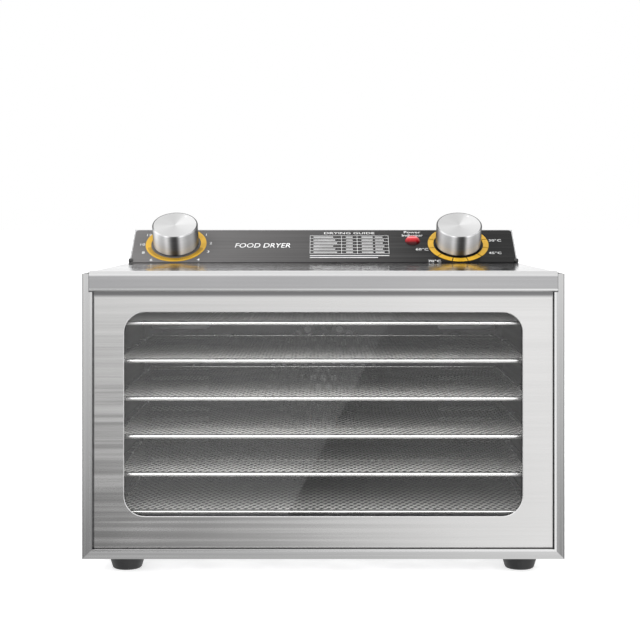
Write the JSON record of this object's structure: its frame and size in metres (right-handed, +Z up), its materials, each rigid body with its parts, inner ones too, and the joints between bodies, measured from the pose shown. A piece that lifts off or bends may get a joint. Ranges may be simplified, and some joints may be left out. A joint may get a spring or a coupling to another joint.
{
  "type": "food dehydrator",
  "caption": "Tabletop food dehydrator: steel case on rubber feet, lift-up glass door, sliding mesh trays, rear fan and ring heater, sloped panel with timer and temperature knobs.",
  "frame": {"origin": "on the table, at the middle of the case's footprint", "axes": "+X to the right seen from the front, +Y to the back, +Z up"},
  "size_m": [0.3422, 0.33, 0.2575],
  "materials": {
    "surround_steel": "satin polished",
    "case_steel": "brushed",
    "top_steel": "fine brushed, fairly glossy",
    "door_steel": "brushed across",
    "liner_steel": "mill finish",
    "screw_steel": "bright plated",
    "black_plastic": "moulded black",
    "white_plastic": "moulded white",
    "switch_plastic": "moulded",
    "brass_pins": "plated",
    "foot_rubber": "matt",
    "gasket_rubber": "matt",
    "fan_aluminium": "pressed",
    "shaft_steel": "ground",
    "lamination_steel": "stacked laminations",
    "coil_copper": "enamelled wire",
    "bracket_steel": "zinc plated",
    "heater_sheath": "heat darkened",
    "fascia_black": "glossy black",
    "scale_gold": "gold print",
    "knob_steel": "polished side, spun top",
    "lamp_red": "clear red",
    "door_glass": "clear",
    "tray_steel": "bright",
    "mesh_steel": "expanded mesh"
  },
  "bodies": {
    "cabinet": {"front_post_left": "surround_steel", "front_post_right": "surround_steel", "front_sill": "surround_steel", "side_panel_left": "case_steel", "side_panel_right": "case_steel", "base_pan": "case_steel", "back_panel": "case_steel", "top_cover": "top_steel", "chamber_ceiling": "liner_steel", "chamber_floor": "liner_steel", "rack_left": "liner_steel", "rack_right": "liner_steel", "fan_baffle": "liner_steel", "case_screws": "screw_steel", "foot_screws": "screw_steel", "control_nuts": "screw_steel", "power_inlet": "black_plastic", "inlet_pins": "brass_pins", "terminal_block": "white_plastic", "rubber_feet": "foot_rubber", "motor_stator": "lamination_steel", "motor_coil": "coil_copper", "motor_bracket": "bracket_steel", "heater_element": "heater_sheath", "heater_clips": "bracket_steel", "thermal_cutout": "black_plastic", "control_housing": "case_steel", "control_fascia": "fascia_black", "fascia_end_clips": "black_plastic", "timer_scale_ring": "scale_gold", "temperature_scale_ring": "scale_gold", "timer_body": "switch_plastic", "thermostat_body": "switch_plastic", "indicator_lens": "lamp_red", "indicator_holder": "black_plastic"},
    "fan": {"fan_impeller": "fan_aluminium", "motor_shaft": "shaft_steel", "motor_rotor": "lamination_steel"},
    "timer_control": {"timer_knob": "knob_steel", "timer_shaft": "shaft_steel"},
    "temperature_control": {"temperature_knob": "knob_steel", "temperature_shaft": "shaft_steel"},
    "door": {"door_panel": "door_steel", "door_grip": "door_steel", "door_glass": "door_glass", "glass_gasket": "gasket_rubber", "glass_retainer": "door_steel", "retainer_nuts": "screw_steel"},
    "tray_1": {"tray_frame_1": "tray_steel", "tray_mesh_1": "mesh_steel"},
    "tray_2": {"tray_frame_2": "tray_steel", "tray_mesh_2": "mesh_steel"},
    "tray_3": {"tray_frame_3": "tray_steel", "tray_mesh_3": "mesh_steel"},
    "tray_4": {"tray_frame_4": "tray_steel", "tray_mesh_4": "mesh_steel"},
    "tray_5": {"tray_frame_5": "tray_steel", "tray_mesh_5": "mesh_steel"},
    "tray_6": {"tray_frame_6": "tray_steel", "tray_mesh_6": "mesh_steel"}
  },
  "joints": [
    {"name": "door_lift", "type": "slide", "parent": "cabinet", "child": "door", "axis": [0, 0, 1], "range_m": [0, 0.19]},
    {"name": "timer_turn", "type": "hinge", "parent": "cabinet", "child": "timer_control", "pos_m": [-0.1315, 0.12535, 0.22865], "axis": [0, 0.5519, -0.8339], "range_deg": [0, 280]},
    {"name": "temperature_turn", "type": "hinge", "parent": "cabinet", "child": "temperature_control", "pos_m": [0.12, 0.12535, 0.22865], "axis": [0, 0.5519, -0.8339], "range_deg": [0, 270]},
    {"name": "fan_spin", "type": "hinge", "parent": "cabinet", "child": "fan", "pos_m": [0, 0.117, 0.1122], "axis": [0, 1, 0], "continuous": true},
    {"name": "tray_1_slide", "type": "slide", "parent": "cabinet", "child": "tray_1", "axis": [0, -1, 0], "range_m": [0, 0.008]},
    {"name": "tray_2_slide", "type": "slide", "parent": "cabinet", "child": "tray_2", "axis": [0, -1, 0], "range_m": [0, 0.008]},
    {"name": "tray_3_slide", "type": "slide", "parent": "cabinet", "child": "tray_3", "axis": [0, -1, 0], "range_m": [0, 0.008]},
    {"name": "tray_4_slide", "type": "slide", "parent": "cabinet", "child": "tray_4", "axis": [0, -1, 0], "range_m": [0, 0.008]},
    {"name": "tray_5_slide", "type": "slide", "parent": "cabinet", "child": "tray_5", "axis": [0, -1, 0], "range_m": [0, 0.008]},
    {"name": "tray_6_slide", "type": "slide", "parent": "cabinet", "child": "tray_6", "axis": [0, -1, 0], "range_m": [0, 0.008]}
  ]
}
